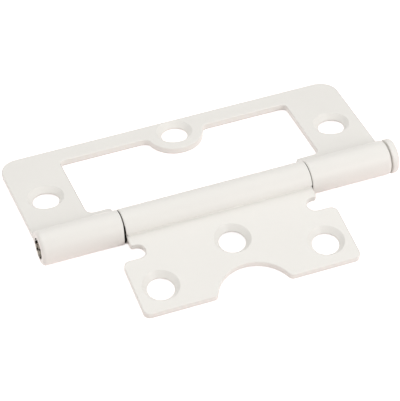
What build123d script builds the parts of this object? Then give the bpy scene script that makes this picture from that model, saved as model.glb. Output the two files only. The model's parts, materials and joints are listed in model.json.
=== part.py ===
"""Flush hinge, 75 mm, lying opened on a table: outer leaf, inner leaf and a headed pin.

X runs along the pin, Z is up and the table is z = 0. The origin is the bottom centre of the
bounding box. Each leaf is first drawn flat: x along the pin, y = distance from the pin's axis,
z = height from the middle of the sheet, with the countersunk face up. All lengths are mm.
"""
import os
from math import asin, atan2, cos, degrees, hypot, radians, sin, sqrt

from build123d import *

# Sheet and knuckles
HINGE_W = 75.0          # length of the outer leaf along the pin
SHEET_T = 1.5
PIN_D = 4.2
RUN_CLEARANCE = 0.05    # radial, pin to the centre knuckle
PRESS_CLEARANCE = 0.0   # radial, pin to the end knuckles
GAP_LEFT = 0.35         # between the left end knuckle and the middle one
GAP_RIGHT = 0.25        # between the middle knuckle and the right one
SEAM = 0.18             # slit between the curl's end and the leaf
CURL_LIP_R = 0.5        # rounding of the curl's end
BEND_R = 1.5            # reverse bend under the leaf, where it dips round the pin
BORE_LIP_R = 0.6        # bend of the leaf's upper face into the bore
KNUCKLE_EDGE_R = 0.35   # rims at the gaps
OUTER_RIM_R = 0.75      # rims at both ends of the hinge
EDGE_R = 0.25           # rounding that paint and tumbling leave on the sheet's edges

# Outer leaf, a frame round the window that the inner leaf closes into
OUTER_Y = 29.4          # far edge, from the pin's axis
TAB_W = 12.3
REAR_STRIP_W = 4.35
STRIP_REACH = 2.35      # short strips beside the end knuckles, how far they stand behind them
OUTER_CORNER_R = 4.0
WINDOW_REAR_R = 1.0
WINDOW_FRONT_R = 1.5
STRIP_END_R = 0.6
LOBE_R = 6.0
LOBE_X = 0.2            # off the middle, towards the pin's head
LOBE_FILLET_R = 1.5

# Inner leaf. Its stamping sits a little off the outer leaf's middle
MIDDLE_L = 39.9         # middle knuckle
MIDDLE_X = -0.2         # its middle
INNER_W = 45.6
INNER_X = -0.35         # middle of the plate
NEST_REAR = 2.0         # left free in the window when the hinge is closed
NEST_LOBE = 1.9
NECK_L = 2.1            # from the knuckle to the notches
NOTCH_W = 3.4
NOTCH_ROOT_X = 17.3     # from the plate's middle to the notches' ends
NECK_CORNER_R = 0.5
SHOULDER_R = 1.5
INNER_CORNER_R = 1.4
SCALLOP_LIP_R = 1.2

# Screw holes
HOLE_D = 5.4
SINK_D = 7.6            # 90 degree countersink
INNER_HOLE_EDGE = 5.35  # inner pair, from the flank

# Pin
PIN_RECESS = 0.7        # plain end below the knuckle's face
HEAD_GAP = 0.2
HEAD_T = 1.65
HEAD_EDGE_R = 0.85
PIN_END_CHAMFER = 0.35

# Sizes that follow
half_t = SHEET_T / 2
half_w = HINGE_W / 2
knuckle_r = PIN_D / 2 + RUN_CLEARANCE + SHEET_T
bend_y = sqrt((knuckle_r + BEND_R) ** 2 - (half_t + BEND_R) ** 2)
root_y = bend_y + 0.25
window_x = half_w - TAB_W
window_y = OUTER_Y - REAR_STRIP_W
strip_y = knuckle_r + STRIP_REACH
middle_x0 = MIDDLE_X - MIDDLE_L / 2
middle_x1 = MIDDLE_X + MIDDLE_L / 2
left_x = middle_x0 - GAP_LEFT
right_x = middle_x1 + GAP_RIGHT
lobe_y = window_y + 0.15
lobe_hole_y = lobe_y + 0.12
tab_hole_x = (half_w + window_x) / 2 + 0.1
tab_hole_y = OUTER_Y / 2 - 0.1
inner_x = INNER_W / 2
inner_y = window_y - NEST_REAR
neck_x0 = INNER_X - middle_x1
neck_x1 = INNER_X - middle_x0
scallop_r = LOBE_R + NEST_LOBE
scallop_y = lobe_y - scallop_r
neck_y = knuckle_r + NECK_L
shoulder_y = neck_y + NOTCH_W
inner_hole_x = inner_x - INNER_HOLE_EDGE
inner_hole_y = (shoulder_y + inner_y) / 2 + 0.9
inner_mid_y = (knuckle_r + scallop_y) / 2


def box2(x0, x1, y0, y1):
    """Rectangle between two corners."""
    return Pos((x0 + x1) / 2, (y0 + y1) / 2) * Rectangle(x1 - x0, y1 - y0)


def corners(sketch, points, reach=0.05):
    """The sketch's vertices at the given points."""
    return [v for v in sketch.vertices() if any(hypot(v.X - x, v.Y - y) < reach for x, y in points)]


def bore_lip_cutter(bore_r):
    """Corner taken off where the leaf's upper face bends down into the bore."""
    r = BORE_LIP_R
    centre_y, centre_z = sqrt((bore_r + r) ** 2 - (half_t - r) ** 2), half_t - r
    share = bore_r / (bore_r + r)
    corner = (sqrt(bore_r ** 2 - half_t ** 2), half_t)
    kite = Polyline(corner, (centre_y, half_t), (centre_y, centre_z),
                    (centre_y * share, centre_z * share), close=True)
    return make_face(kite) - Pos(centre_y, centre_z) * Circle(r)


def curl_section(bore_r):
    """Sheet that dips under the pin, wraps over it and ends on the leaf's countersunk face."""
    section = Circle(knuckle_r) + box2(0, root_y, -half_t, half_t)
    low = (sqrt(knuckle_r ** 2 - half_t ** 2), -half_t)
    section = fillet(corners(section, [low]), BEND_R)
    section -= Circle(bore_r)
    section -= box2(0.5 * bore_r, knuckle_r + 1, half_t, half_t + SEAM)
    lip = (sqrt(knuckle_r ** 2 - (half_t + SEAM) ** 2), half_t + SEAM)
    section = fillet(corners(section, [lip]), CURL_LIP_R)
    return section - bore_lip_cutter(bore_r)


def rim_cutter(e):
    """Ring that rounds a knuckle's rim at x = 0 to radius e, open where the sheet leaves the curl."""
    corner = box2(-e, e, knuckle_r - e, knuckle_r + e) - Pos(e, knuckle_r - e) * Circle(e)
    ring = revolve(corner, Axis.X)
    root_low = -half_t - BEND_R / 2
    root_top = half_t + SEAM
    root = Box(4 * e, 2 * knuckle_r, root_top - root_low, align=(Align.CENTER, Align.MIN, Align.MIN))
    return ring - Pos(0, 0, root_low) * root


def knuckle(x0, x1, bore_r, rim0=KNUCKLE_EDGE_R, rim1=KNUCKLE_EDGE_R):
    """One rolled knuckle between two stations on the pin, with its outer rims rounded."""
    curl = extrude(Plane.YZ * curl_section(bore_r), x1 - x0)
    curl -= rim_cutter(rim0)
    curl -= Pos(x1 - x0, 0, 0) * mirror(rim_cutter(rim1), Plane.YZ)
    return Pos(x0, 0, 0) * curl


def sink(x, y):
    """Cutter for one countersunk screw hole from the top face."""
    margin = 0.5
    depth = (SINK_D - HOLE_D) / 2 + margin
    cone = Cone(HOLE_D / 2, SINK_D / 2 + margin, depth, align=(Align.CENTER, Align.CENTER, Align.MAX))
    return Pos(x, y, 0) * (Cylinder(HOLE_D / 2, 4 * SHEET_T) + Pos(0, 0, half_t + margin) * cone)


def plate(outline):
    """Sheet with the outline's edges softened on both faces, all but those at the knuckles."""
    sheet = Pos(0, 0, -half_t) * extrude(outline, SHEET_T)
    rims = [e for e in sheet.edges() if abs(abs(e.center().Z) - half_t) < 1e-4
            and e.bounding_box().max.Y > root_y + 0.1]
    return fillet(rims, EDGE_R)


def outer_leaf():
    """Frame plate with two end knuckles."""
    frame = box2(-half_w, half_w, root_y, OUTER_Y)
    frame = fillet(corners(frame, [(-half_w, OUTER_Y), (half_w, OUTER_Y)]), OUTER_CORNER_R)
    wx = window_x
    window = box2(-wx, wx, strip_y, window_y)
    window = fillet(corners(window, [(-wx, window_y), (wx, window_y)]), WINDOW_REAR_R)
    window = fillet(corners(window, [(-wx, strip_y), (wx, strip_y)]), WINDOW_FRONT_R)
    lobe = Pos(LOBE_X, lobe_y) * Circle(LOBE_R) & box2(-wx, wx, 0, OUTER_Y - EDGE_R - 1)
    frame = frame - window + lobe
    root_x = sqrt(LOBE_R ** 2 - (window_y - lobe_y) ** 2)
    roots = [(LOBE_X - root_x, window_y), (LOBE_X + root_x, window_y)]
    frame = fillet(corners(frame, roots), LOBE_FILLET_R)
    frame -= box2(left_x, right_x, 0, strip_y)
    frame = fillet(corners(frame, [(left_x, strip_y), (right_x, strip_y)]), STRIP_END_R)
    leaf = plate(frame)
    bore_r = PIN_D / 2 + PRESS_CLEARANCE
    leaf += knuckle(-half_w, left_x, bore_r, rim0=OUTER_RIM_R)
    leaf += knuckle(right_x, half_w, bore_r, rim1=OUTER_RIM_R)
    for x, y in ((-tab_hole_x, tab_hole_y), (tab_hole_x, tab_hole_y), (LOBE_X, lobe_hole_y)):
        leaf -= sink(x, y)
    return leaf


def inner_leaf():
    """Plate with one long knuckle, necked by two notches and scalloped to clear the lobe.

    x is measured from the plate's middle towards the plain end of the pin."""
    wx, n0, n1 = inner_x, neck_x0, neck_x1
    body = box2(-wx, wx, shoulder_y, inner_y) + box2(n0, n1, root_y, shoulder_y)
    body -= Pos(0, lobe_y) * Circle(scallop_r)
    for side in (-1, 1):
        slot_x = side * (NOTCH_ROOT_X + NOTCH_W / 2)
        slot_y = shoulder_y - NOTCH_W / 2
        reach = box2(*sorted((slot_x, side * (wx + 1))), slot_y - NOTCH_W / 2, shoulder_y)
        body -= Pos(slot_x, slot_y) * Circle(NOTCH_W / 2) + reach
    mouth_x = sqrt(scallop_r ** 2 - (lobe_y - inner_y) ** 2)
    body = fillet(corners(body, [(-mouth_x, inner_y), (mouth_x, inner_y)]), SCALLOP_LIP_R)
    body = fillet(corners(body, [(-wx, inner_y), (wx, inner_y)]), INNER_CORNER_R)
    body = fillet(corners(body, [(-wx, shoulder_y), (wx, shoulder_y)]), SHOULDER_R)
    body = fillet(corners(body, [(n0, neck_y), (n1, neck_y)]), NECK_CORNER_R)
    leaf = plate(body)
    leaf += knuckle(n0, n1, PIN_D / 2 + RUN_CLEARANCE)
    for x, y in ((-inner_hole_x, inner_hole_y), (inner_hole_x, inner_hole_y), (0, inner_mid_y)):
        leaf -= sink(x, y)
    return leaf


def hinge_pin():
    """Wire pin with a button head beyond the right end knuckle."""
    x0, x1 = -half_w + PIN_RECESS, half_w + HEAD_GAP
    r = PIN_D / 2
    outline = Polyline((x0, 0), (x0, r - PIN_END_CHAMFER), (x0 + PIN_END_CHAMFER, r), (x1, r),
                       (x1, knuckle_r), (x1 + HEAD_T, knuckle_r), (x1 + HEAD_T, 0), close=True)
    profile = make_face(outline)
    profile = fillet(corners(profile, [(x1 + HEAD_T, knuckle_r)]), HEAD_EDGE_R)
    profile = fillet(corners(profile, [(x1, knuckle_r)]), EDGE_R)
    return revolve(profile, Axis.X)


def droop(reach):
    """Angle below level at which a leaf's far edge meets the table that the knuckles lie on."""
    a, b, c = reach - EDGE_R, half_t - EDGE_R, knuckle_r - EDGE_R
    return degrees(asin(c / hypot(a, b)) - atan2(b, a))


OUTER_DROOP = droop(OUTER_Y)
INNER_DROOP = droop(inner_y)


def reach_y(reach, angle):
    """Level distance from the pin's axis to the upper edge of a drooped leaf."""
    a = radians(angle)
    return (reach - EDGE_R) * cos(a) + (half_t - EDGE_R) * sin(a) + EDGE_R


AXIS_Y = (reach_y(inner_y, INNER_DROOP) - reach_y(OUTER_Y, OUTER_DROOP)) / 2
AXIS_X = -(HEAD_GAP + HEAD_T) / 2
AXIS = Pos(AXIS_X, AXIS_Y, knuckle_r)

nodes = {
    "outer_leaf": AXIS * Rot(-OUTER_DROOP, 0, 0) * outer_leaf(),
    "inner_leaf": AXIS * Rot(INNER_DROOP, 0, 0) * Pos(INNER_X, 0, 0) * Rot(0, 0, 180) * inner_leaf(),
    "hinge_pin": AXIS * hinge_pin(),
}

os.makedirs("parts", exist_ok=True)
for name, shape in nodes.items():
    export_step(shape, f"parts/{name}.step")
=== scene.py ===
"""Looks of a white powder-coated flush hinge that lies opened on a table.

Each leaf is worked out flat, in its own frame: x along the pin, y = distance from the pin's
axis, z = height from the middle of the sheet, with the countersunk face up. It is then tilted
to where it rests on the table. All lengths are metres.
"""

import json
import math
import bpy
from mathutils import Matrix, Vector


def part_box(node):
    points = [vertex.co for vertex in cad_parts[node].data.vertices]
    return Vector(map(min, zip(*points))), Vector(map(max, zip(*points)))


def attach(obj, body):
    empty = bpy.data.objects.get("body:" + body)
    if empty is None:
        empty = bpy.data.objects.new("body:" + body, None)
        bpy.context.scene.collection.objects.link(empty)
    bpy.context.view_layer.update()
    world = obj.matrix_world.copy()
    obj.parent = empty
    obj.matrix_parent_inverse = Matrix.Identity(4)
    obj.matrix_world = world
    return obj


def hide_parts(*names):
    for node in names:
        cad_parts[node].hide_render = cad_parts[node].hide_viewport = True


bl_info = {
    "name": "Flush Hinge",
    "version": (1, 0, 0),
    "blender": (4, 5, 0),
    "location": "3D View > Sidebar > Hinge",
    "description": "White powder-coated flush hinge with its table, lamps and camera",
    "category": "Object",
}

import bmesh
import bpy
import numpy as np
from bpy.props import FloatProperty, FloatVectorProperty, PointerProperty
from bpy.types import Operator, Panel, PropertyGroup
from mathutils import Euler, Matrix, Vector
from mathutils.geometry import tessellate_polygon

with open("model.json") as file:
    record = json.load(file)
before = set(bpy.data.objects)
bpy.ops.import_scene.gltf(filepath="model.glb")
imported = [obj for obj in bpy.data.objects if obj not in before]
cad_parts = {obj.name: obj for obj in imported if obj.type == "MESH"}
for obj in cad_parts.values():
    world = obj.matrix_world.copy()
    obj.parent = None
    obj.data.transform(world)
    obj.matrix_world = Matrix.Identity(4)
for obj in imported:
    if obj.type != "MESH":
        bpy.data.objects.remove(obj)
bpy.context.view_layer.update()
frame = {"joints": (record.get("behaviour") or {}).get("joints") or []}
LEAF_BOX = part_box("outer_leaf")
PIN_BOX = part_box("hinge_pin")
AXIS = Vector(frame["joints"][0]["pos_m"])
HINGE_LENGTH = LEAF_BOX[1].x - LEAF_BOX[0].x
KNUCKLE_R = (PIN_BOX[1].z - PIN_BOX[0].z) / 2
FLAT = 0.00001      # width of the flat strip beside every rounding, so that flats shade flat
QUARTER = np.radians(np.linspace(0, 90, 9))     # steps of a quarter-round edge
SPOKES = 96     # steps round the pin and the screw holes
COAT, SHADE_COAT, STEEL_AND_SHADE = 0, 1, 2      # material slots of every piece: full coat, a darker coat that is painted shade on edges and in gaps, and bare steel whose dark patches are painted shade
SHADED_WAY = (0.34, 0.94)     # level direction away from the camera, with the hinge opened: edges turned this way get painted shade


class SheetSizes(PropertyGroup):
    """The painted sheet and its rolled knuckles, alike on both leaves."""
    thickness: FloatProperty(name="Thickness", description="Sheet with its paint",
                             default=0.0015, unit="LENGTH")
    edge: FloatProperty(name="Edge radius", description="Rounding of the painted edges",
                        default=0.00025, unit="LENGTH")
    bend: FloatProperty(name="Reverse bend", description="Inner radius where the sheet dips round the pin",
                        default=0.0015, unit="LENGTH")
    slit: FloatProperty(name="Seam", description="Slit between the curl's end and the leaf",
                        default=0.00018, unit="LENGTH")
    lip: FloatProperty(name="Curl lip", description="Rounding of the curl's end",
                       default=0.00045, unit="LENGTH")
    rim: FloatProperty(name="Outer rim", description="Rounding of the knuckles at both ends of the hinge",
                       default=0.00075, unit="LENGTH")
    hole: FloatProperty(name="Screw hole", description="Diameter", default=0.0054, unit="LENGTH")
    sink: FloatProperty(name="Countersink", description="Diameter at the face",
                        default=0.0076, unit="LENGTH")
    bead: FloatProperty(name="Seam paint", description="Width of the paint that fills the seam",
                        default=0.00034, unit="LENGTH")


class OuterSizes(PropertyGroup):
    """The outer leaf, a frame round the window."""
    reach: FloatProperty(name="Reach", description="Far edge from the pin's axis",
                         default=0.0294, unit="LENGTH")
    tab: FloatProperty(name="Tab width", description="Along the pin", default=0.0123, unit="LENGTH")
    strip: FloatProperty(name="Rear strip", description="Width", default=0.00435, unit="LENGTH")
    stub: FloatProperty(name="Short strip reach", description="Behind the knuckle",
                        default=0.00235, unit="LENGTH")
    corner: FloatProperty(name="Corner radius", description="Rear corners", default=0.004, unit="LENGTH")
    lobe: FloatProperty(name="Lobe radius", description="Round the middle screw",
                        default=0.006, unit="LENGTH")
    skew: FloatProperty(name="Knuckle skew",
                        description="How far the left knuckle's front falls short at its gap",
                        default=0.00026, unit="LENGTH")
    lobe_x: FloatProperty(name="Lobe place", description="Off the middle, towards the pin's head",
                          default=0.0002, unit="LENGTH")


class InnerSizes(PropertyGroup):
    """The inner leaf and its long knuckle."""
    knuckle: FloatProperty(name="Knuckle length", description="Along the pin",
                           default=0.0399, unit="LENGTH")
    knuckle_x: FloatProperty(name="Knuckle place", description="Off the hinge's middle",
                             default=-0.0002, unit="LENGTH")
    gap_left: FloatProperty(name="Left gap", description="Between the knuckles",
                            default=0.00020, unit="LENGTH")
    gap_right: FloatProperty(name="Right gap", description="Between the knuckles",
                             default=0.00012, unit="LENGTH")
    width: FloatProperty(name="Plate width", description="Along the pin", default=0.0456, unit="LENGTH")
    plate_x: FloatProperty(name="Plate place", description="Off the hinge's middle",
                           default=-0.00035, unit="LENGTH")
    rear: FloatProperty(name="Rear clearance", description="In the window", default=0.0020, unit="LENGTH")
    scallop: FloatProperty(name="Scallop clearance", description="Round the lobe",
                           default=0.0019, unit="LENGTH")
    neck: FloatProperty(name="Neck", description="From the knuckle to the notches",
                        default=0.0021, unit="LENGTH")
    notch: FloatProperty(name="Notch width", description="Across its round root",
                         default=0.0034, unit="LENGTH")
    root: FloatProperty(name="Notch root", description="From the plate's middle",
                        default=0.0173, unit="LENGTH")


class PinSizes(PropertyGroup):
    """The headed wire pin."""
    diameter: FloatProperty(name="Diameter", description="Bare wire", default=0.0042, unit="LENGTH")
    play: FloatProperty(name="Play", description="Radial, in the middle knuckle",
                        default=0.00005, unit="LENGTH")
    recess: FloatProperty(name="Recess", description="Plain end below the knuckle's face",
                          default=0.0007, unit="LENGTH")
    head_gap: FloatProperty(name="Head gap", description="Between head and knuckle",
                            default=0.0002, unit="LENGTH")
    crown: FloatProperty(name="Head rounding", description="Outer rim of the head",
                         default=0.00085, unit="LENGTH")


class Finish(PropertyGroup):
    """Powder coat, bare wire, and the darker colours that are painted shade on edges, in gaps and in the
    bores.
    """
    white: FloatVectorProperty(name="Powder white", description="Colour of the coat", subtype="COLOR",
                               size=3, min=0, max=1, default=(0.850, 0.836, 0.800))
    # painted shade: a darker coat colour on edges turned away from the camera, on lower roundings and beside
    # the gaps
    shade_tint: FloatVectorProperty(name="Thin coat", description="Colour where the coat is thin over an edge",
                              subtype="COLOR", size=3, min=0, max=1, default=(0.60, 0.57, 0.54))
    steel: FloatVectorProperty(name="Wire", description="Bare steel", subtype="COLOR",
                               size=3, min=0, max=1, default=(0.60, 0.56, 0.50))
    # painted shade: the dark colour of the wire, the bores and the gap faces, where shade falls
    painted_shade_colour: FloatVectorProperty(name="Grease", description="Dark film on the wire's end", subtype="COLOR",
                              size=3, min=0, max=1, default=(0.020, 0.016, 0.012))
    gloss: FloatProperty(name="Roughness", description="Of the coat", subtype="FACTOR",
                         min=0, max=1, default=0.42)
    peel: FloatProperty(name="Orange peel", description="Height of the coat's fine waves",
                        default=0.000005, unit="LENGTH", precision=7)


class Setting(PropertyGroup):
    """Table, lamps and camera."""
    table: FloatVectorProperty(name="Table", description="Colour", subtype="COLOR", size=3, min=0, max=1,
                               default=(0.90, 0.80, 0.79))
    ceiling: FloatProperty(name="Ceiling softbox", description="Power in watts", min=0, default=3.34)
    front: FloatProperty(name="Front softbox", description="Power in watts", min=0, default=3.5)
    side: FloatProperty(name="Side softbox", description="Power in watts", min=0, default=1.19)
    sky: FloatProperty(name="Room light", description="Even light from all sides", min=0, default=0.405)
    lens: FloatProperty(name="Lens", description="Focal length", default=195.88, unit="CAMERA")
    place: FloatVectorProperty(name="Camera place", description="Where it stands", subtype="TRANSLATION",
                               unit="LENGTH", size=3, default=(-0.111987, -0.303722, 0.304923))
    turn: FloatVectorProperty(name="Camera turn", description="Euler angles", subtype="EULER",
                              unit="ROTATION", size=3, default=(0.816820, 0.012871, -0.356267))


class HingeProperties(PropertyGroup):
    """Everything that a user of the panel can change."""
    sheet: PointerProperty(type=SheetSizes)
    outer: PointerProperty(type=OuterSizes)
    inner: PointerProperty(type=InnerSizes)
    pin: PointerProperty(type=PinSizes)
    finish: PointerProperty(type=Finish)
    setting: PointerProperty(type=Setting)


def arc(x, y, r, start, end, side=1, step=5, fewest=6):
    """Rows of (x, y, normal x, normal y) along a circle from the start to the end angle in degrees.

    Formula: centre + r (cos a, sin a), a step of degrees or a little more apart, in a fewest number
    of steps or more. The normal leaves the material: away from the centre on an outward corner
    (side 1), towards it on an inward one (side -1)."""
    count = max(fewest, int(abs(end - start) / step))
    a = np.radians(np.linspace(start, end, count + 1))
    ring = np.column_stack([np.cos(a), np.sin(a)])
    return np.hstack([np.array([x, y]) + r * ring, side * ring])


def both_halves(half):
    """A line of such rows followed by its mirror image across x = 0, walked back."""
    return np.vstack([half, half[::-1] * np.array([-1, 1, -1, 1])])


def eased_line(corners, step=12.0):
    """A line through points (a, b, radius) with every corner rounded, as rows (a, b).

    Formula: the arc touches both sides at radius / tan(half the angle) from the corner, and its
    points are centre + radius (cos, sin) of evenly spaced angles, at most a step of degrees apart."""
    rows = []
    for k, (a, b, r) in enumerate(corners):
        here = np.array([a, b], float)
        if r <= 0 or k in (0, len(corners) - 1):
            rows.append(here[None])
            continue
        u = np.array(corners[k - 1][:2], float) - here
        v = np.array(corners[k + 1][:2], float) - here
        u, v = u / np.linalg.norm(u), v / np.linalg.norm(v)
        half = math.acos(np.clip(u @ v, -1, 1)) / 2
        away = (u + v) / np.linalg.norm(u + v)
        centre = here + away * r / math.sin(half)
        first, last = u * r / math.tan(half) + here - centre, v * r / math.tan(half) + here - centre
        a0 = math.atan2(first[1], first[0])
        sweep = (math.atan2(last[1], last[0]) - a0 + math.pi) % (2 * math.pi) - math.pi
        t = a0 + np.linspace(0, sweep, max(3, int(abs(math.degrees(sweep)) / step) + 2))
        rows.append(centre + r * np.column_stack([np.cos(t), np.sin(t)]))
    return np.vstack(rows)


def rounding(edge):
    """Rows (how far in from the outline, how far below the face) over a quarter-round edge.

    Formula: edge (1 - cos t), edge (1 - sin t) for t from 90 to 0 degrees, with a flat strip before
    it in the face and after it in the wall."""
    t = QUARTER[::-1]
    curve = np.column_stack([edge * (1 - np.cos(t)), edge * (1 - np.sin(t))])
    return np.vstack([[edge + FLAT, 0], curve, [0, edge + FLAT]])


class Skin:
    """Points and faces of one piece, added as grids and as flat fills, and then welded."""
    WELD = 1e-7     # points closer than this become one

    def __init__(self):
        self.points, self.faces, self.marks, self.count = [], [], [], 0

    def grid(self, surface, ring=False, mark=0):
        """Adds a surface given as an array (rows, columns, 3), closed across its rows if ring.

        The mark is the faces' material, for all of them or for each strip between two columns."""
        rows, columns = surface.shape[:2]
        base = self.count
        i, j = np.meshgrid(np.arange(rows if ring else rows - 1), np.arange(columns - 1), indexing="ij")
        k = (i + 1) % rows
        quads = np.stack([i * columns + j, k * columns + j, k * columns + j + 1, i * columns + j + 1], -1)
        marks = np.broadcast_to(mark, quads.shape[:2]).ravel().tolist()
        self._keep(surface.reshape(-1, 3), (quads.reshape(-1, 4) + base).tolist(), marks)

    def fill(self, outline, holes=(), mark=0):
        """Adds a flat face inside an outline of 3-D points, less its holes."""
        loops = [outline, *holes]
        points = np.vstack(loops)
        corners = tessellate_polygon([[Vector(p) for p in loop] for loop in loops])
        self._keep(points, (np.array(corners) + self.count).tolist(), [mark] * len(corners))

    def _keep(self, points, faces, marks):
        self.points.append(points)
        self.faces += faces
        self.marks += marks
        self.count += len(points)

    def piece(self, name, place, body, slot, node, materials):
        """Welds the skin, turns it outwards and makes it the piece that stands for a CAD node."""
        mesh = bpy.data.meshes.new(name)
        mesh.from_pydata(np.vstack(self.points).tolist(), [], self.faces)
        mesh.polygons.foreach_set("material_index", self.marks)
        work = bmesh.new()
        work.from_mesh(mesh)
        bmesh.ops.remove_doubles(work, verts=work.verts, dist=self.WELD)
        bmesh.ops.dissolve_degenerate(work, edges=work.edges, dist=self.WELD / 10)
        bmesh.ops.recalc_face_normals(work, faces=work.faces)
        if any(not edge.is_manifold for edge in work.edges):
            raise RuntimeError(f"{name} has an open edge: change the last size back")
        work.to_mesh(mesh)
        work.free()
        mesh.transform(place)
        mesh.polygons.foreach_set("use_smooth", [True] * len(mesh.polygons))
        for material in materials:
            mesh.materials.append(material)
        obj = bpy.data.objects.new(name, mesh)
        bpy.context.scene.collection.objects.link(obj)
        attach(obj, body)
        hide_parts(node)
        return obj


def sheet_edge(path, thickness, edge):
    """Surface that a rounded sheet edge sweeps along an outline: (outline points, across the edge, 3).

    Formula: point - normal * inset, at height half the thickness less the drop, then mirrored."""
    inset, drop = rounding(edge).T
    inset, z = np.r_[inset, inset[::-1]], np.r_[thickness / 2 - drop, (drop - thickness / 2)[::-1]]
    flat = path[:, None, :2] - path[:, None, 2:] * inset[None, :, None]
    return np.dstack([flat, np.broadcast_to(z, flat.shape[:2])])


def edge_coat_and_shade(path, surface, shade_way):
    """Marks for a sheet's edge: painted shade in its lower rounding, and in its upper one wherever the
    outline's normal leans the shaded way, away from the camera. The wall and the strips beside the
    two faces are full coat.

    Formula: it leans that way where the normal's share along the shaded way is over the least lean."""
    least_lean = 0.25
    strip, n = np.arange(surface.shape[1] - 1)[None], len(QUARTER)
    last = strip.max()
    upper, lower = (strip > 1) & (strip < n), (strip > last - n) & (strip < last - 1)
    shaded = ((path[1:, 2:] + path[:-1, 2:]) / 2 @ np.array(shade_way) > least_lean)[:, None]
    # these roundings get the darker coat, painted shade
    return np.where(lower | (upper & shaded), SHADE_COAT, COAT)


def screw_hole(sheet):
    """Profile (radius, height) of a countersunk hole with all its rims eased by the paint.

    The cone narrows by as much as it falls. At both faces the line starts on the level, far enough
    out for the rim's rounding."""
    h, r, s = sheet.thickness / 2, sheet.hole / 2, sheet.sink / 2
    rim, eased = 0.00006, 0.0002     # roundings at the upper face, and at the cone's foot and below
    upper_start, lower_start = s + rim / 2, r + eased + 0.00003
    return eased_line([(upper_start, h, 0), (s, h, rim), (r, h - (s - r), eased),
                       (r, -h, eased), (lower_start, -h, 0)])


def turned(profile):
    """Surface of revolution, (round, along the profile, 3), from rows (radius, height).

    Formula: (radius cos a, radius sin a, height) for a from 0 to a full turn."""
    a = np.linspace(0, 2 * np.pi, SPOKES, endpoint=False)[:, None]
    r, z = profile[:, 0][None], profile[:, 1][None]
    return np.dstack([r * np.cos(a), r * np.sin(a), z + 0 * a])


def drill(skin, places, sheet):
    """Adds the countersunk holes and returns their rims in the upper and in the lower face."""
    hole = turned(screw_hole(sheet))
    upper, lower = [], []
    for x, y in places:
        wall = hole + np.array([x, y, 0])
        skin.grid(wall, ring=True)
        upper.append(wall[:, 0][::-1])
        lower.append(wall[:, -1][::-1])
    return upper, lower


def bend_centre(sheet):
    """Where the reverse bend's arc has its centre, (y, z), touching the curl and the leaf's lower face."""
    h = sheet.thickness / 2
    return math.sqrt((KNUCKLE_R + sheet.bend) ** 2 - (h + sheet.bend) ** 2), -h - sheet.bend


def lip_centre(sheet):
    """Where the curl's rounded lip has its centre, (y, z), over the seam's slit."""
    z = sheet.thickness / 2 + sheet.slit + sheet.lip
    return math.sqrt((KNUCKLE_R - sheet.lip) ** 2 - z ** 2), z


def curl_line(sheet, root, bore):
    """Section of a rolled knuckle as rows (y, z, normal y, normal z, small rim, rim's growth).

    It runs from the leaf's lower face through the reverse bend, round the outside, over the curl's
    lip into the seam, round the bore and out along the leaf's upper face. Between the two straight
    ends each part is an arc: of the bend, the outside, the lip, the bore lip, the bore, or the turn
    from the bore into the leaf's face. A rim's radius is the small rim plus growth * (wanted rim -
    edge): it grows over the bend and fades again before the lip, both as t squared * (3 - 2 t)."""
    h, big, e = sheet.thickness / 2, KNUCKLE_R, sheet.edge
    bore_lip, turn = 0.00012, 0.0006     # radii of the two arcs beside the bore
    fade_a = -290       # angle from which the rim fades
    lip_rim, bore_rim = 0.3 * e, 0.4 * e
    bend_y, bend_z = bend_centre(sheet)
    tilt = math.degrees(math.atan2(-bend_z, bend_y))
    lip_y, lip_z = lip_centre(sheet)
    lip_a = math.degrees(math.atan2(lip_z, lip_y))
    in_z = h + sheet.slit + bore_lip
    in_y = math.sqrt((bore + bore_lip) ** 2 - in_z ** 2)
    in_a = math.degrees(math.atan2(in_z, in_y))
    out_z = h - turn
    out_y = math.sqrt((bore + turn) ** 2 - out_z ** 2)
    out_a = math.degrees(math.atan2(out_z, out_y))
    parts = [
        (np.array([[root, -h, 0, -1]]), e, 0, 0),
        (arc(bend_y, bend_z, sheet.bend, 90, 180 - tilt, -1), e, 0, 1),
        (arc(0, 0, big, -tilt, fade_a), e, 1, 1),
        (arc(0, 0, big, fade_a, lip_a - 360), e, 1, 0),
        (arc(lip_y, lip_z, sheet.lip, lip_a, -90), e, 0, 0),
        (arc(in_y, in_z, bore_lip, -90, in_a - 180), lip_rim, 0, 0),
        (arc(0, 0, bore, in_a, 360 + out_a, -1), bore_rim, 0, 0),
        (arc(out_y, out_z, turn, 180 + out_a, 90), bore_rim, 0, 0),
        (np.array([[big, h, 0, 1], [root, h, 0, 1]]), e, 0, 0),
    ]
    rows = []
    for line, rim, first, last in parts:
        t = np.linspace(0, 1, len(line))
        growth = first + (last - first) * t * t * (3 - 2 * t)
        rows.append(np.column_stack([line, np.full(len(line), rim), growth]))
    rows = np.vstack(rows)
    same = 1e-9     # where two parts meet, their shared point is kept once
    kept = np.r_[True, np.hypot(*np.diff(rows[:, :2], axis=0).T) > same]
    return rows[kept]


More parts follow.
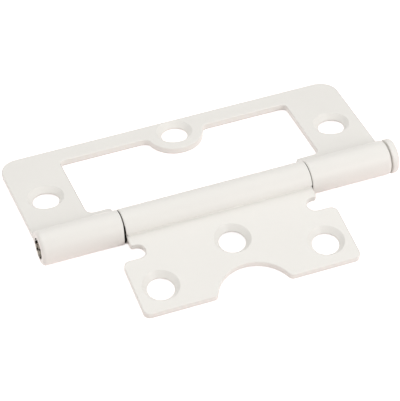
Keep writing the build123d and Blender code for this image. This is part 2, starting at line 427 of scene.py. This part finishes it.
def knuckle(skin, sheet, x0, x1, root, bore, rim0, rim1, faces=(STEEL_AND_SHADE, STEEL_AND_SHADE), skew=0.0):
    """Adds a rolled knuckle: its section carried along the pin, drawn in over both rounded rims.

    The marks of its two end faces hold as far out as the knuckle's radius; a dark end face and the
    dark inside of the bore are painted shade. Beyond it, the leaf's root has painted shade beside a
    dark face and a full coat beside a coated one. The skew is how far the side away from the leaf
    falls short at the second end, as skew * (y / outer radius) to the fourth power.

    Formula: at a rim of radius e the section moves against its normal by e (1 - cos t), while x
    stops short of the end by e (1 - sin t)."""
    rows = curl_line(sheet, root, bore)
    t = QUARTER[None]
    stops, draws = [], []
    for rim in (rim0, rim1):
        e = (rows[:, 4] + rows[:, 5] * (rim - sheet.edge))[:, None]
        stops.append(np.hstack([e + FLAT, e * (1 - np.sin(t)), 0 * e]))
        draws.append(np.hstack([0 * e, e * (1 - np.cos(t)), e + FLAT]))
    short = skew * (np.minimum(rows[:, :1], 0) / KNUCKLE_R) ** 4
    x = np.hstack([x0 + stops[0][:, ::-1], x1 - short - stops[1]])
    d = np.hstack([draws[0][:, ::-1], draws[1]])
    flat = rows[:, None, :2] - rows[:, None, 2:4] * d[:, :, None]
    surface = np.dstack([x, flat])
    middle = (rows[1:, :2] + rows[:-1, :2]) / 2
    shade_depth = 0.0001     # how far from the bore's wall a face is still dark, painted shade inside the bore
    inside = np.hypot(*middle.T)[:, None] < bore + shade_depth
    skin.grid(surface, mark=np.where(inside, STEEL_AND_SHADE, COAT))
    first = np.argmax(rows[:, 0] < KNUCKLE_R)
    for end, face in zip((surface[:, 0], surface[:, -1]), faces):
        skin.fill(end[first:-1], mark=face)
        # the root beside a dark gap face gets the darker coat, painted shade in the gap
        skin.fill(np.vstack([end[:first + 1], end[-2:]]), mark=SHADE_COAT if face == STEEL_AND_SHADE else COAT)


def smooth_noise(x, seed, size, count=7):
    """Even noise between about -1 and 1 along x.

    Formula: twice the mean of a count of sine waves of random phase, 0.4 to 2.2 of them to a size."""
    draw = np.random.default_rng(seed)
    waves = draw.uniform(0.4, 2.2, count)[:, None] / size
    phases = draw.uniform(0, 2 * np.pi, count)[:, None]
    return np.sin(2 * np.pi * waves * x[None] + phases).mean(0) * 2


def seam_paint(skin, sheet, x0, x1, blobs):
    """Adds the paint that has run into a seam, as a bead with a hollow face.

    Formula: a quadratic curve from the curl's lip down to the leaf's face, whose middle point lies
    near the corner between them, at a depth that wanders along x, with a swelling at each blob."""
    sunk = 0.00002      # how far the bead's edges lie inside the steel
    dry, wet = -78, 26      # angle on the lip where a bead of no size would end, and its climb
    x = np.linspace(x0, x1, 260)
    h = sheet.thickness / 2
    lip_y, lip_z = lip_centre(sheet)
    grow = 1 + 0.20 * smooth_noise(x, 5, 0.006) + 0.10 * smooth_noise(x, 9, 0.0016)
    for at, width, rise in blobs:
        grow = grow + rise * np.exp(-((x - at) / width) ** 2)
    top = np.radians(dry + wet * np.clip(grow, 0.3, 2.0))
    inner = sheet.lip - sunk
    on_curl = np.column_stack([lip_y + inner * np.cos(top), lip_z + inner * np.sin(top)])
    foot = lip_y + sheet.lip * 0.6
    on_leaf = np.column_stack([foot + sheet.bead * grow, np.full_like(x, h - sunk)])
    full = np.clip(0.38 + 0.20 * smooth_noise(x, 3, 0.004), 0.0, 0.8)[:, None]
    corner_y, corner_z = foot - 0.00015, h + 0.00006
    corner = np.column_stack([np.full_like(x, corner_y), np.full_like(x, corner_z)])
    middle = corner + full * ((on_curl + on_leaf) / 2 - corner)
    t = np.linspace(0, 1, len(QUARTER))[None, :, None]
    face = ((1 - t) ** 2 * on_curl[:, None] + 2 * t * (1 - t) * middle[:, None]
            + t ** 2 * on_leaf[:, None])
    back = np.array([lip_y, h - sunk])
    loop = np.concatenate([face, np.broadcast_to(back, (len(x), 1, 2)), face[:, :1]], 1)
    surface = np.dstack([np.broadcast_to(x[:, None], loop.shape[:2]), loop])
    skin.grid(surface)
    skin.fill(surface[0, :-1])
    skin.fill(surface[-1, :-1])


def resting_tilt(reach, sheet):
    """Angle below level at which a leaf's rounded far edge meets the table under the knuckles."""
    a, b, c = reach - sheet.edge, sheet.thickness / 2 - sheet.edge, KNUCKLE_R - sheet.edge
    return math.asin(c / math.hypot(a, b)) - math.atan2(b, a)


class Plan:
    """Lengths that follow from the panel's sizes."""
    ROOT = 0.00025      # from the reverse bend's end to where the knuckle passes into the leaf
    LOBE = 0.00015      # lobe's centre behind the window's rear edge
    OFF = 0.0001        # outer leaf's holes off the middle of the tabs, and behind the lobe's centre
    INSET = 0.00535     # inner leaf's pair of holes from the plate's sides
    BACK = 0.0009       # and behind the middle between the shoulders and the far edge

    def __init__(self, p):
        s, o, n = p.sheet, p.outer, p.inner
        self.half = HINGE_LENGTH / 2
        self.root = bend_centre(s)[0] + self.ROOT
        self.window_x, self.window_y = self.half - o.tab, o.reach - o.strip
        self.stub_y = KNUCKLE_R + o.stub
        self.lobe_y = self.window_y + self.LOBE
        ends = n.knuckle_x - n.knuckle / 2, n.knuckle_x + n.knuckle / 2
        self.left, self.right = ends[0] - n.gap_left, ends[1] + n.gap_right
        self.neck_ends = n.plate_x - ends[1], n.plate_x - ends[0]
        self.inner_x, self.inner_y = n.width / 2, self.window_y - n.rear
        self.scallop = o.lobe + n.scallop
        self.neck = KNUCKLE_R + n.neck
        self.shoulder = self.neck + n.notch
        tab_x, tab_y = (self.half + self.window_x) / 2 + self.OFF, o.reach / 2 - self.OFF
        self.outer_holes = [(-tab_x, tab_y), (tab_x, tab_y), (o.lobe_x, self.lobe_y + self.OFF)]
        pair_x = self.inner_x - self.INSET
        pair_y = (self.shoulder + self.inner_y) / 2 + self.BACK
        self.inner_holes = [(-pair_x, pair_y), (pair_x, pair_y),
                            (0.0, (KNUCKLE_R + self.lobe_y - self.scallop) / 2)]
        self.outer_place = Matrix.Translation(AXIS) @ Matrix.Rotation(-resting_tilt(o.reach, s), 4, "X")
        self.inner_place = (Matrix.Translation(AXIS)
                            @ Matrix.Rotation(resting_tilt(self.inner_y, s), 4, "X")
                            @ Matrix.Translation((n.plate_x, 0, 0)) @ Matrix.Rotation(math.pi, 4, "Z"))


def outer_outline(p, plan):
    """The outer leaf's outline in two lines: round the outside, and round the window and its lobe."""
    r = p.outer.corner
    outside = both_halves(np.vstack([[[plan.half, plan.root, 1, 0]],
                                     arc(plan.half - r, p.outer.reach - r, r, 0, 90)]))
    wx, wy, sy = plan.window_x, plan.window_y, plan.stub_y
    stub, front, rear, fillet = 0.0006, 0.0015, 0.001, 0.0015      # radii, the last beside the lobe
    dy = plan.lobe_y - wy + fillet
    fx = math.sqrt((p.outer.lobe + fillet) ** 2 - dy ** 2)
    lean = math.degrees(math.atan2(dy, fx))
    lobe = p.outer.lobe_x
    left = np.vstack([
        [[plan.left, plan.root, 1, 0]],
        arc(plan.left - stub, sy - stub, stub, 0, 90),
        arc(-wx + front, sy + front, front, 270, 180, -1),
        arc(-wx + rear, wy - rear, rear, 180, 90, -1),
        arc(lobe - fx, wy - fillet, fillet, 90, lean, -1),
        arc(lobe, plan.lobe_y, p.outer.lobe, 180 + lean, 270),
    ])
    right = np.vstack([
        arc(lobe, plan.lobe_y, p.outer.lobe, 270, 360 - lean),
        arc(lobe + fx, wy - fillet, fillet, 180 - lean, 90, -1),
        arc(wx - rear, wy - rear, rear, 90, 0, -1),
        arc(wx - front, sy + front, front, 0, -90, -1),
        arc(plan.right + stub, sy - stub, stub, 90, 180),
        [[plan.right, plan.root, -1, 0]],
    ])
    return outside, np.vstack([left, right])


def inner_outline(p, plan):
    """The inner leaf's outline from one end of its knuckle round to the other."""
    ny, r, root = plan.neck, p.inner.notch / 2, p.inner.root
    neck, shoulder, corner, lip = 0.0005, 0.0015, 0.0014, 0.0012      # radii, the last at the scallop
    ly = plan.inner_y - lip
    lx = math.sqrt((plan.scallop + lip) ** 2 - (plan.lobe_y - ly) ** 2)
    lean = math.degrees(math.atan2(plan.lobe_y - ly, lx))
    side = np.vstack([
        arc(root + r, ny + r, r, 270, 90, -1),
        arc(plan.inner_x - shoulder, plan.shoulder + shoulder, shoulder, -90, 0),
        arc(plan.inner_x - corner, plan.inner_y - corner, corner, 0, 90),
        arc(lx, ly, lip, 90, 180 - lean),
        arc(0, plan.lobe_y, plan.scallop, -lean, -90, -1),
    ])
    x0, x1 = plan.neck_ends
    return np.vstack([[[x1, plan.root, 1, 0]], arc(x1 - neck, ny - neck, neck, 0, 90), both_halves(side),
                      arc(x0 + neck, ny - neck, neck, 90, 180), [[x0, plan.root, -1, 0]]])


class Wire:
    """One socket of a node tree. The operators add Math nodes, so that 1 - mask * 0.5 works."""

    def __init__(self, tree, socket):
        self.tree, self.socket = tree, socket

    def _math(self, operation, a, b):
        return self.tree.node("ShaderNodeMath", {"operation": operation}, {0: a, 1: b})

    def __add__(self, other):
        return self._math("ADD", self, other)

    def __radd__(self, other):
        return self._math("ADD", other, self)

    def __sub__(self, other):
        return self._math("SUBTRACT", self, other)

    def __rsub__(self, other):
        return self._math("SUBTRACT", other, self)

    def __mul__(self, other):
        return self._math("MULTIPLY", self, other)

    def __rmul__(self, other):
        return self._math("MULTIPLY", other, self)


class Paintbox:
    """The emptied node tree of a material or a world, with one method that adds any node."""

    def __init__(self, owner):
        owner.use_nodes = True
        self.owner, self.nodes, self.links = owner, owner.node_tree.nodes, owner.node_tree.links
        self.nodes.clear()

    def node(self, kind, settings=None, inputs=None, output=0):
        """Adds a node, sets it up, fills or links its sockets, and returns one output as a Wire."""
        made = self.nodes.new(kind)
        for key, value in (settings or {}).items():
            if key == "stops":
                ramp = made.color_ramp.elements
                while len(ramp) < len(value):
                    ramp.new(0.5)
                for stop, (at, colour) in zip(ramp, value):
                    stop.position, stop.color = at, colour
            else:
                setattr(made, key, value)
        for key, value in (inputs or {}).items():
            if isinstance(value, Wire):
                self.links.new(value.socket, made.inputs[key])
            else:
                made.inputs[key].default_value = value
        return Wire(self, made.outputs[output]) if made.outputs else None

    def place(self):
        """Object coordinates, which lie still on the piece."""
        return self.node("ShaderNodeTexCoord", output="Object")

    def coordinate(self, axis):
        """One of the object coordinates, in metres."""
        return self.node("ShaderNodeSeparateXYZ", {}, {"Vector": self.place()}, axis)

    def noise(self, scale, detail=2.0, rough=0.5):
        """Even noise with so many waves to a metre."""
        return self.node("ShaderNodeTexNoise", {}, {"Vector": self.place(), "Scale": scale,
                                                    "Detail": detail, "Roughness": rough}, "Fac")

    def ramp(self, value, *stops):
        """A value through a ramp of (place, grey) stops."""
        return self.node("ShaderNodeValToRGB", {"stops": [(a, (g, g, g, 1)) for a, g in stops]},
                         {"Fac": value})

    def blend(self, factor, a, b):
        """Colour a where the factor is 0 and b where it is 1."""
        return self.node("ShaderNodeMix", {"data_type": "RGBA"}, {"Factor": factor, 6: a, 7: b}, 2)

    def seen_rays(self):
        """Mask that is 1 for what the camera sees straight, in a reflection or through glass."""
        camera, glossy, through = (self.node("ShaderNodeLightPath", output=name)
                                   for name in ("Is Camera Ray", "Is Glossy Ray", "Is Transmission Ray"))
        return self.node("ShaderNodeMath", {"operation": "ADD", "use_clamp": True},
                         {0: camera + glossy, 1: through})

    def done(self, surface):
        """Ends a material with this surface and returns it."""
        self.node("ShaderNodeOutputMaterial", {}, {"Surface": surface})
        return self.owner


def rgba(colour, shade=1.0):
    """A panel colour as four numbers, darkened by a share."""
    return tuple(min(1.0, c * shade) for c in colour) + (1.0,)


def powder_coat(name, tint, finish):
    """White powder coat: fine orange peel, a few dust nibs, a faint cloud and softly uneven gloss.

    The cloud is about a centimetre across, the grain under a millimetre, and the nibs lie where a
    wider noise is high. Heights are in units of the orange peel's."""
    cloudy = 0.975      # shade of the cloud's darkest parts
    nib_size, nib_height = 0.09, 1.6
    box = Paintbox(bpy.data.materials.new(name))
    cloud = box.noise(90.0, detail=3.0)
    grain = box.noise(1500.0, rough=0.55)
    fine = box.noise(5200.0, detail=1.0)
    cells = box.node("ShaderNodeTexVoronoi", {"feature": "F1"},
                     {"Vector": box.place(), "Scale": 420.0, "Randomness": 1.0}, "Distance")
    chosen = box.ramp(box.noise(260.0, detail=0.0), (0.60, 0.0), (0.66, 1.0))
    nib = box.ramp(cells, (0.0, 1.0), (nib_size, 0.0)) * chosen
    shade = box.ramp(cloud * 0.7 + grain * 0.3, (0.30, 0.0), (0.70, 1.0))
    colour = box.blend(shade, rgba(tint, cloudy), rgba(tint))
    rough = finish.gloss + (cloud - 0.5) * 0.10 + (grain - 0.5) * 0.08
    height = (grain - 0.5) * 1.0 + (fine - 0.5) * 0.25 + nib * nib_height
    bump = box.node("ShaderNodeBump", {}, {"Strength": 1.0, "Distance": finish.peel, "Height": height})
    return box.done(box.node("ShaderNodeBsdfPrincipled", {}, {
        "Base Color": colour, "Roughness": rough, "Normal": bump, "Specular IOR Level": 0.35}))


def steel_and_shade(name, finish):
    """Bare steel of the pin and the bores, mostly under dark patches that are painted shade in the bores,
    the gaps and the pin's recessed end, with bright steel between. More bright steel lies on the lower
    half of the plain end, so that the upper half stays darker as painted shade of the bore's rim.

    The end's mask rises from x = -35 to -36 mm, and the lower half's from 0.25 to 0.75 mm below
    the pin's axis. The dark painted shade fades between the two numbers of its ramp."""
    lower_half_light, pits = 0.10, 0.00006      # how much lighter the lower half is kept, painted light, and depth of the marks
    box = Paintbox(bpy.data.materials.new(name))
    streaks = box.noise(2600.0, 4.0, 0.7)
    blotch = box.noise(1100.0, 3.0, 0.6)
    end = box.ramp(box.coordinate("X") * -20.0, (0.70, 0.0), (0.72, 1.0))
    low = box.ramp((AXIS.z - box.coordinate("Z")) * 200.0 + 0.5, (0.55, 0.0), (0.65, 1.0))
    # dark patches of painted shade, thinned out on the lower half of the plain end
    shade_patches = box.ramp(blotch * 0.6 + streaks * 0.4 + end * low * lower_half_light, (0.54, 1.0), (0.62, 0.0))
    colour = box.blend(shade_patches, rgba(finish.steel), rgba(finish.painted_shade_colour))
    rough = 0.35 + shade_patches * 0.35 + (streaks - 0.5) * 0.2
    bump = box.node("ShaderNodeBump", {}, {"Strength": 1.0, "Distance": pits, "Height": streaks + blotch})
    return box.done(box.node("ShaderNodeBsdfPrincipled", {}, {
        "Base Color": colour, "Metallic": 1.0 - shade_patches, "Roughness": rough, "Normal": bump,
        "Specular IOR Level": 0.25}))


def pale_table(setting):
    """Pale table that keeps the shadow and shows white to the camera and in reflections."""
    box = Paintbox(bpy.data.materials.new("pale_table"))
    cloth = box.node("ShaderNodeBsdfDiffuse", {}, {"Color": rgba(setting.table)})
    glow = box.node("ShaderNodeEmission", {}, {"Color": (1, 1, 1, 1), "Strength": 0.85})
    nothing = box.node("ShaderNodeEmission", {}, {"Color": (0, 0, 0, 1), "Strength": 0.0})
    lift = box.node("ShaderNodeMixShader", {}, {0: box.seen_rays(), 1: nothing, 2: glow})
    return box.done(box.node("ShaderNodeAddShader", {}, {0: cloth, 1: lift}))


def finishes(context):
    """The three materials in the order of their slots, made once and shared by the pieces."""
    finish = context.scene.flush_hinge.finish
    made = bpy.data.materials
    # the second material is the coat in a darker tint, painted shade on edges and in gaps; the third is
    # steel under dark patches of painted shade
    return [made.get("white_powder_coat") or powder_coat("white_powder_coat", finish.white, finish),
            made.get("shaded_powder_coat") or powder_coat("shaded_powder_coat", finish.shade_tint, finish),
            made.get("pin_steel_and_shade") or steel_and_shade("pin_steel_and_shade", finish)]


def wire_line(r, near, seat):
    """Profile (radius, place along the pin) of the wire, from its plain end to the head's seat.

    The sheared end is a shallow hollow inside a small chamfer. The straight shank is cut once near
    either end, so that its shading stays even."""
    hollow, dish, chamfer = 0.0001, 0.00006, 0.0004
    cut0, cut1 = near + 0.002, seat - 0.0001
    return eased_line([(0, near + hollow, 0), (r * 0.55, near + dish, 0.0006), (r * 0.86, near, 0.0002),
                       (r, near + chamfer, 0.0003), (r, cut0, 0), (r, cut1, 0), (r, seat, 0)])


def head_line(r, seat, far, crown):
    """Profile (radius, place along the pin) of the button head, from its seat to its flat top."""
    foot, flat = 0.00025, 0.3      # rounding beside the seat, and the flat's share of the radius
    return eased_line([(r, seat, 0), (KNUCKLE_R, seat, foot), (KNUCKLE_R, far, crown),
                       (KNUCKLE_R * flat, far, 0), (0, far, 0)], step=8)


class HINGE_OT_stage(Operator):
    """Adds the camera, the table and the lamps"""
    bl_idname = "hinge.stage"
    bl_label = "Stage"

    def execute(self, context):
        s = context.scene.flush_hinge.setting
        lens = bpy.data.cameras.new("product_camera")
        lens.lens, lens.sensor_width, lens.sensor_fit = s.lens, 36.0, "HORIZONTAL"
        lens.clip_start, lens.clip_end = 0.01, 20.0
        camera = bpy.data.objects.new("product_camera", lens)
        camera.location, camera.rotation_euler = s.place, Euler(s.turn)
        context.scene.collection.objects.link(camera)
        context.scene.camera = camera

        half = 2.0      # metres, half the table's side
        mesh = bpy.data.meshes.new("table_top")
        mesh.from_pydata([(-half, -half, 0), (half, -half, 0), (half, half, 0), (-half, half, 0)], [],
                         [(0, 1, 2, 3)])
        mesh.materials.append(pale_table(s))
        table = bpy.data.objects.new("table_top", mesh)
        context.scene.collection.objects.link(table)

        for name, place, wide, power in (("ceiling_softbox", (0.10, 0.30, 0.80), 1.0, s.ceiling),
                                         ("front_softbox", (0.45, -0.65, 0.45), 0.4, s.front),
                                         ("side_softbox", (-0.70, 0.0, 0.35), 0.4, s.side)):
            lamp = bpy.data.lights.new(name, "AREA")
            lamp.shape, lamp.size, lamp.energy = "SQUARE", wide, power
            lamp.color = (1.0, 0.995, 0.985)
            box = bpy.data.objects.new(name, lamp)
            box.location = place
            box.rotation_euler = (-box.location).to_track_quat("-Z", "Y").to_euler()
            context.scene.collection.objects.link(box)

        world = bpy.data.worlds.new("room")
        paint = Paintbox(world)
        white = paint.node("ShaderNodeBackground", {}, {"Color": (1, 1, 1, 1), "Strength": 1.0})
        room = paint.node("ShaderNodeBackground", {}, {"Color": (1.0, 0.985, 0.97, 1), "Strength": s.sky})
        both = paint.node("ShaderNodeMixShader", {}, {0: paint.seen_rays(), 1: room, 2: white})
        paint.node("ShaderNodeOutputWorld", {}, {"Surface": both})
        context.scene.world = world
        context.scene.view_settings.view_transform = "Standard"
        return {"FINISHED"}


class HINGE_OT_outer_leaf(Operator):
    """Adds the outer leaf: frame, window, lobe and two end knuckles"""
    bl_idname = "hinge.outer_leaf"
    bl_label = "Outer leaf"

    def execute(self, context):
        p = context.scene.flush_hinge
        plan, sheet, skin = Plan(p), p.sheet, Skin()
        outside, window = outer_outline(p, plan)
        rims = [sheet_edge(line, sheet.thickness, sheet.edge) for line in (outside, window)]
        # edges turned away from the camera and the lower roundings get the darker coat, painted shade
        for line, rim in zip((outside, window), rims):
            skin.grid(rim, mark=edge_coat_and_shade(line, rim, SHADED_WAY))
        upper, lower = drill(skin, plan.outer_holes, sheet)
        skin.fill(np.vstack([r[:, 0] for r in rims]), upper)
        skin.fill(np.vstack([r[:, -1] for r in rims]), lower)
        bore = p.pin.diameter / 2
        # the knuckle ends that face the gaps are dark steel, painted shade in the gaps
        knuckle(skin, sheet, -plan.half, plan.left, plan.root, bore, sheet.rim, sheet.edge, (COAT, STEEL_AND_SHADE),
                p.outer.skew)
        knuckle(skin, sheet, plan.right, plan.half, plan.root, bore, sheet.edge, sheet.rim, (STEEL_AND_SHADE, COAT))
        skin.piece("outer_leaf_painted", plan.outer_place, "outer", "white_paint", "outer_leaf",
                   finishes(context))
        return {"FINISHED"}


class HINGE_OT_inner_leaf(Operator):
    """Adds the inner leaf: necked and scalloped plate, long knuckle and the paint in its seam"""
    bl_idname = "hinge.inner_leaf"
    bl_label = "Inner leaf"

    def execute(self, context):
        p = context.scene.flush_hinge
        plan, sheet, skin = Plan(p), p.sheet, Skin()
        line = inner_outline(p, plan)
        rim = sheet_edge(line, sheet.thickness, sheet.edge)
        # edges turned away from the camera and the lower roundings get the darker coat, painted shade; the
        # leaf lies turned round, so the direction is reversed
        skin.grid(rim, mark=edge_coat_and_shade(line, rim, (-SHADED_WAY[0], -SHADED_WAY[1])))
        upper, lower = drill(skin, plan.inner_holes, sheet)
        skin.fill(rim[:, 0], upper)
        skin.fill(rim[:, -1], lower)
        bore = p.pin.diameter / 2 + p.pin.play
        x0, x1 = plan.neck_ends
        # both ends of the long knuckle face gaps and are dark steel, painted shade
        knuckle(skin, sheet, x0, x1, plan.root, bore, sheet.edge, sheet.edge)
        short0, short1 = 0.0001, 0.0003      # where the paint ends inside the knuckle's ends
        blobs = [(-0.0035, 0.0007, 0.5), (-0.0089, 0.0006, 0.45)]       # place, width, rise
        seam_paint(skin, sheet, x0 + short0, x1 - short1, blobs)
        skin.piece("inner_leaf_painted", plan.inner_place, "inner", "white_paint", "inner_leaf",
                   finishes(context))
        return {"FINISHED"}


class HINGE_OT_pin(Operator):
    """Adds the pin: sheared plain end, wire and painted button head"""
    bl_idname = "hinge.pin"
    bl_label = "Pin"

    def execute(self, context):
        p = context.scene.flush_hinge
        plan, skin, r = Plan(p), Skin(), p.pin.diameter / 2
        near, far = -plan.half + p.pin.recess, PIN_BOX[1].x - AXIS.x
        seat = plan.half + p.pin.head_gap
        along = Matrix.Rotation(math.pi / 2, 4, "Y")
        # the wire is bare steel with dark patches, painted shade where it shows in the gaps and the recessed
        # end
        skin.grid(turned(wire_line(r, near, seat)), ring=True, mark=STEEL_AND_SHADE)
        skin.grid(turned(head_line(r, seat, far, p.pin.crown)), ring=True, mark=COAT)
        skin.piece("hinge_pin_finished", Matrix.Translation(AXIS) @ along, "outer", "pin_steel", "hinge_pin",
                   finishes(context))
        return {"FINISHED"}


class HINGE_PT_panel(Panel):
    """Sizes, colours and buttons of the flush hinge"""
    bl_idname = "HINGE_PT_panel"
    bl_label = "Flush Hinge"
    bl_space_type = "VIEW_3D"
    bl_region_type = "UI"
    bl_category = "Hinge"

    def draw(self, context):
        groups = context.scene.flush_hinge
        for name in ("sheet", "outer", "inner", "pin", "finish", "setting"):
            group, column = getattr(groups, name), self.layout.box().column()
            column.label(text=name.capitalize())
            for key in group.__annotations__:
                column.prop(group, key)
        for operator in OPERATORS:
            self.layout.operator(operator.bl_idname)


OPERATORS = (HINGE_OT_stage, HINGE_OT_outer_leaf, HINGE_OT_inner_leaf, HINGE_OT_pin)
CLASSES = (SheetSizes, OuterSizes, InnerSizes, PinSizes, Finish, Setting, HingeProperties,
           *OPERATORS, HINGE_PT_panel)


def register():
    for cls in CLASSES:
        bpy.utils.register_class(cls)
    bpy.types.Scene.flush_hinge = PointerProperty(type=HingeProperties)


def unregister():
    del bpy.types.Scene.flush_hinge
    for cls in reversed(CLASSES):
        bpy.utils.unregister_class(cls)


def main():
    """Makes the hinge and its stage."""
    register()
    bpy.ops.hinge.stage()
    bpy.ops.hinge.outer_leaf()
    bpy.ops.hinge.inner_leaf()
    bpy.ops.hinge.pin()


if __name__ == "__main__":
    main()
